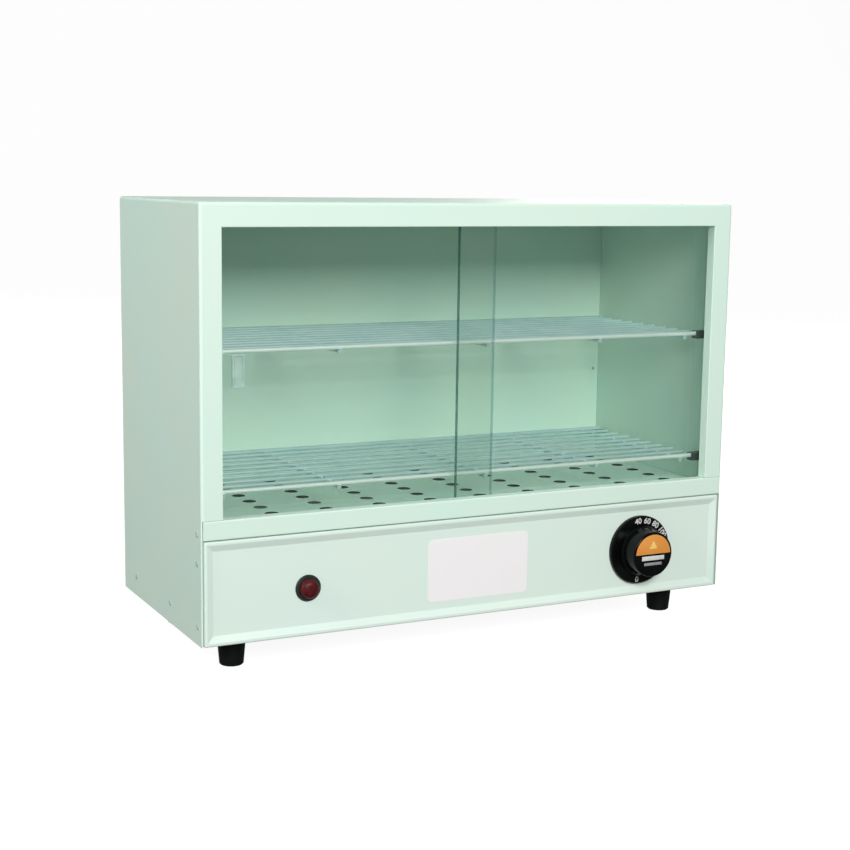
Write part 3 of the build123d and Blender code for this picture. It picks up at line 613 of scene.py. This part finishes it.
def makeBadge(look):
    # a black disc in the knob's face with an orange half, a pointer and two bars
    low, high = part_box("knob_badge")
    centre = (low + high) / 2
    radius = (high.x - low.x) / 2
    upright = (math.radians(90), 0, 0)
    film = look["film"] * mm
    ink = look["ink"] * mm
    inkY = high.y - film - ink / 2
    base = start(
        "badgeFilm", bpy.ops.mesh.primitive_cylinder_add, vertices=look["sides"], radius=radius, depth=film,
        location=(centre.x, high.y - film / 2, centre.z), rotation=upright,
    )
    bevelEdges(base, look["round"] * mm, segments=2)
    settle(base, "heat_knob", blackPhenolic, ["knob_badge"])
    half = start(
        "badgeOrangeHalf", bpy.ops.mesh.primitive_cylinder_add, vertices=look["sides"],
        radius=radius - look["rim"] * mm, depth=ink, location=(centre.x, inkY, centre.z), rotation=upright,
    )
    pickFaces(half, lambda face: True)
    splitPlace = (centre.x, centre.y, centre.z + look["split"] * mm)
    bpy.ops.mesh.bisect(plane_co=splitPlace, plane_no=(0, 0, 1), use_fill=True, clear_inner=True)
    bpy.ops.object.mode_set(mode="OBJECT")
    bevelEdges(half, look["round"] * mm, segments=2)
    settle(half, "heat_knob", orangeInk)
    mark = look["pointer"]
    pointer = start(
        "badgePointer", bpy.ops.mesh.primitive_cylinder_add, vertices=3, radius=mark["radius"] * mm,
        depth=ink, rotation=upright,
        location=(centre.x, inkY - mark["proud"] * mm, centre.z + mark["rise"] * mm),
    )
    bevelEdges(pointer, mark["round"] * mm, segments=2)
    settle(pointer, "heat_knob", yellowInk)
    for name, material, width, height, rise in look["bars"]:
        bar = start(
            name, bpy.ops.mesh.primitive_cube_add, size=1, location=(centre.x, inkY, centre.z + rise * mm),
            scale=(width * mm, ink, height * mm),
        )
        bevelEdges(bar, look["barRound"] * mm, segments=2)
        settle(bar, "heat_knob", material)


makeBadge(badgeLook)

dialLook = {
    "numbers": (("0", 187), ("40", -8), ("60", 13), ("80", 34), ("100", 57)),  # degrees from the top
    "radius": 27.0, "size": 7.2, "bold": 0.16, "thick": 0.12,
}


def makeDialPrint(look):
    # numbers round the dial, clockwise from the top
    low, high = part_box("dial_plate")
    centre = (low + high) / 2
    marks = []
    for text, degrees in look["numbers"]:
        clearSelection()
        bpy.ops.object.text_add(location=(0, 0, 0))
        mark = bpy.context.object
        mark.data.body = text
        mark.data.align_x = "CENTER"
        mark.data.align_y = "CENTER"
        mark.data.size = look["size"] * mm
        mark.data.extrude = look["thick"] / 2 * mm
        mark.data.offset = look["bold"] * mm
        bpy.ops.object.convert(target="MESH")
        angle = math.radians(degrees)
        turn = Matrix.Rotation(angle, 4, "Y") @ Matrix.Rotation(math.radians(90), 4, "X")
        place = (
            centre.x + look["radius"] * mm * math.sin(angle), low.y,
            centre.z + look["radius"] * mm * math.cos(angle),
        )
        mark.matrix_world = Matrix.Translation(place) @ turn
        bpy.ops.object.transform_apply(location=True, rotation=True, scale=True)
        marks.append(mark)
    settle(joinPieces(marks, "dialNumbers"), "cabinet", whiteInk)


makeDialPrint(dialLook)
print("knob and dial finished")


# pilot lamp

# Red styrene lens: moulded and clear, so the dark barrel behind makes it a deep red
lampRed = surfaceMaterial("redStyreneLens", {
    "colour": "#5E0D14", "second": "#36060A", "drift": 3, "grain": 1.5,
    "rough": (0.42, 0.58), "relief": 0.2, "depth": 0.1, "ior": 1.59, "specular": 0.2,
})

# Black nylon of the lamp's barrel and flange: moulded, with a broad silky shine
lampNylon = surfaceMaterial("mouldedBlackNylon", {
    "colour": "#131B17", "second": "#212A25", "drift": 5, "grain": 0.6,
    "rough": (0.34, 0.46), "relief": 0.1, "depth": 0.03, "specular": 0.6,
})
dress(["lamp_housing"], lampNylon)

lensLook = {
    "sides": 16, "barrel": 0.5,
    "steps": ((0.3, 0.82), (0.15, 0.72), (0.05, 0.5)),  # rise and shrink of each ring, as shares
    "round": 0.25,
}


def makeLens(look):
    # a faceted dome like a cut jewel
    low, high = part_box("lamp_lens")
    centre = (low + high) / 2
    radius = (high.x - low.x) / 2
    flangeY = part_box("lamp_housing")[0].y
    reach = flangeY - low.y
    piece = start(
        "pilotLens", bpy.ops.mesh.primitive_cylinder_add, vertices=look["sides"], radius=radius,
        depth=reach * look["barrel"], location=(centre.x, flangeY - reach * look["barrel"] / 2, centre.z),
        rotation=(math.radians(90), 0, 0),
    )
    pickFaces(piece, lambda face: face.normal.y < -0.9)
    for rise, shrink in look["steps"]:
        extrudeBy((0, -reach * rise, 0))
        bpy.ops.transform.resize(value=(shrink, 1, shrink))
    bpy.ops.object.mode_set(mode="OBJECT")
    bevelEdges(piece, look["round"] * mm, segments=2, angle=15)
    settle(piece, "cabinet", lampRed, ["lamp_lens"])


makeLens(lensLook)
print("pilot lamp finished")


# label

# Plain vinyl film: calendered, matt and slightly warm against the mint coat
labelFilm = surfaceMaterial("plainVinylFilm", {
    "colour": "#F5F1F2", "second": "#F3F3F2", "drift": 30, "grain": 0.8,
    "rough": (0.5, 0.6), "relief": 0.06, "depth": 0.02,
})
dress(["front_label"], labelFilm)
print("label finished")


# rivets

# The rivets have the cabinet's coat, painted darker and greyer as painted shade, which tones down the light
# their domed heads catch
shadedRivetCoat = surfaceMaterial("mintPowderCoatRivetShaded", dict(mintCoatLook, colour="#B4CDC1", second="#A9C2B5"))

rivetLook = {
    "places": ((71.0, 45.7), (-26.0, 45.7), (-97.3, 43.0), (-97.3, 95.4), (-97.3, 119.6)),  # Y and Z
    "sides": 32, "head": 2.7, "rise": 0.6, "crown": 0.72, "ring": 0.95, "well": 0.2, "round": 0.18,
}


def makeRivets(look):
    # blind rivets: a low domed head with the broken mandrel sunk in its middle
    shellLow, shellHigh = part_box("outer_shell")
    rise = look["rise"] * mm
    pattern = start(
        "rivet", bpy.ops.mesh.primitive_cylinder_add, vertices=look["sides"], radius=look["head"] * mm,
        depth=rise, location=(-rise / 2, 0, 0), rotation=(0, math.radians(90), 0),
    )
    pickFaces(pattern, lambda face: face.normal.x < -0.9)
    bpy.ops.transform.resize(value=(1, look["crown"], look["crown"]))
    bpy.ops.mesh.inset(thickness=look["ring"] * mm)
    extrudeBy((look["well"] * mm, 0, 0))
    bpy.ops.object.mode_set(mode="OBJECT")
    bevelEdges(pattern, look["round"] * mm, segments=2, angle=25)
    heads = []
    for y, z in look["places"]:
        heads.append(copyAt(pattern, (shellLow.x, y * mm, z * mm)))
        heads.append(copyAt(pattern, (shellHigh.x, y * mm, z * mm), math.pi))
    bpy.data.meshes.remove(pattern.data)
    joined = joinPieces(heads, "sideRivetHeads")
    settle(joined, "cabinet", shadedRivetCoat, ["side_rivets"])


makeRivets(rivetLook)
print("rivets finished")


# inside the base

# Heat-darkened steel sheath of the heater: oxidised to a bronze grey in patches
heaterSheath = surfaceMaterial("oxidisedSheath", {
    "colour": "#4A4844", "second": "#5C554C", "drift": 14, "grain": 0.6,
    "rough": (0.4, 0.6), "relief": 0.2, "depth": 0.03, "metallic": 1.0,
})
dress(["heating_element"], heaterSheath)

# Glazed steatite of the terminal block: pressed and fired, creamy with a soft glaze
steatite = surfaceMaterial("glazedSteatite", {
    "colour": "#E6E0D0", "second": "#DCD5C2", "drift": 10, "grain": 0.8,
    "rough": (0.2, 0.35), "relief": 0.12, "depth": 0.04,
})
dress(["terminal_block"], steatite)

# Cream urea of the thermostat's case: moulded, semi-matt
ureaCase = surfaceMaterial("creamUreaMoulding", {
    "colour": "#DCD6C4", "second": "#D2CBB8", "drift": 14, "grain": 0.7,
    "rough": (0.4, 0.52), "relief": 0.15, "depth": 0.03,
})
dress(["thermostat_body"], ureaCase)

# Copper of the sensing bulb and its fine tube: drawn, warm and lightly tarnished
bulbCopper = surfaceMaterial("drawnCopper", {
    "colour": "#B8733F", "second": "#9E6238", "drift": 12, "grain": 0.5,
    "rough": (0.28, 0.42), "relief": 0.12, "depth": 0.02, "metallic": 1.0,
})
dress(["thermostat_bulb"], bulbCopper)

# Neon bulb glass, seen only through the lens: pale with an orange cast
neonGlass = surfaceMaterial("neonBulbGlass", {
    "colour": "#E9C6A4", "second": "#F0D9C2", "drift": 3, "grain": 0.8,
    "rough": (0.08, 0.15), "relief": 0.05, "depth": 0.02,
})
dress(["lamp_bulb"], neonGlass)

# Silicone-varnished glass braid of the leads: woven sleeve, dull with a fine rib
leadLook = {
    "colour": "#9A2A20", "second": "#86241C", "drift": 20, "grain": 0.5,
    "rough": (0.6, 0.75), "relief": 0.4, "depth": 0.1,
}
leadSleeve = surfaceMaterial("redBraidedSleeve", leadLook)
dress(["supply_lead", "heater_leads", "lamp_leads"], leadSleeve)
earthSleeve = surfaceMaterial("greenBraidedSleeve", dict(leadLook, colour="#4C8A2E", second="#6E9A34"))
dress(["earth_lead"], earthSleeve)
print("inner pieces finished")
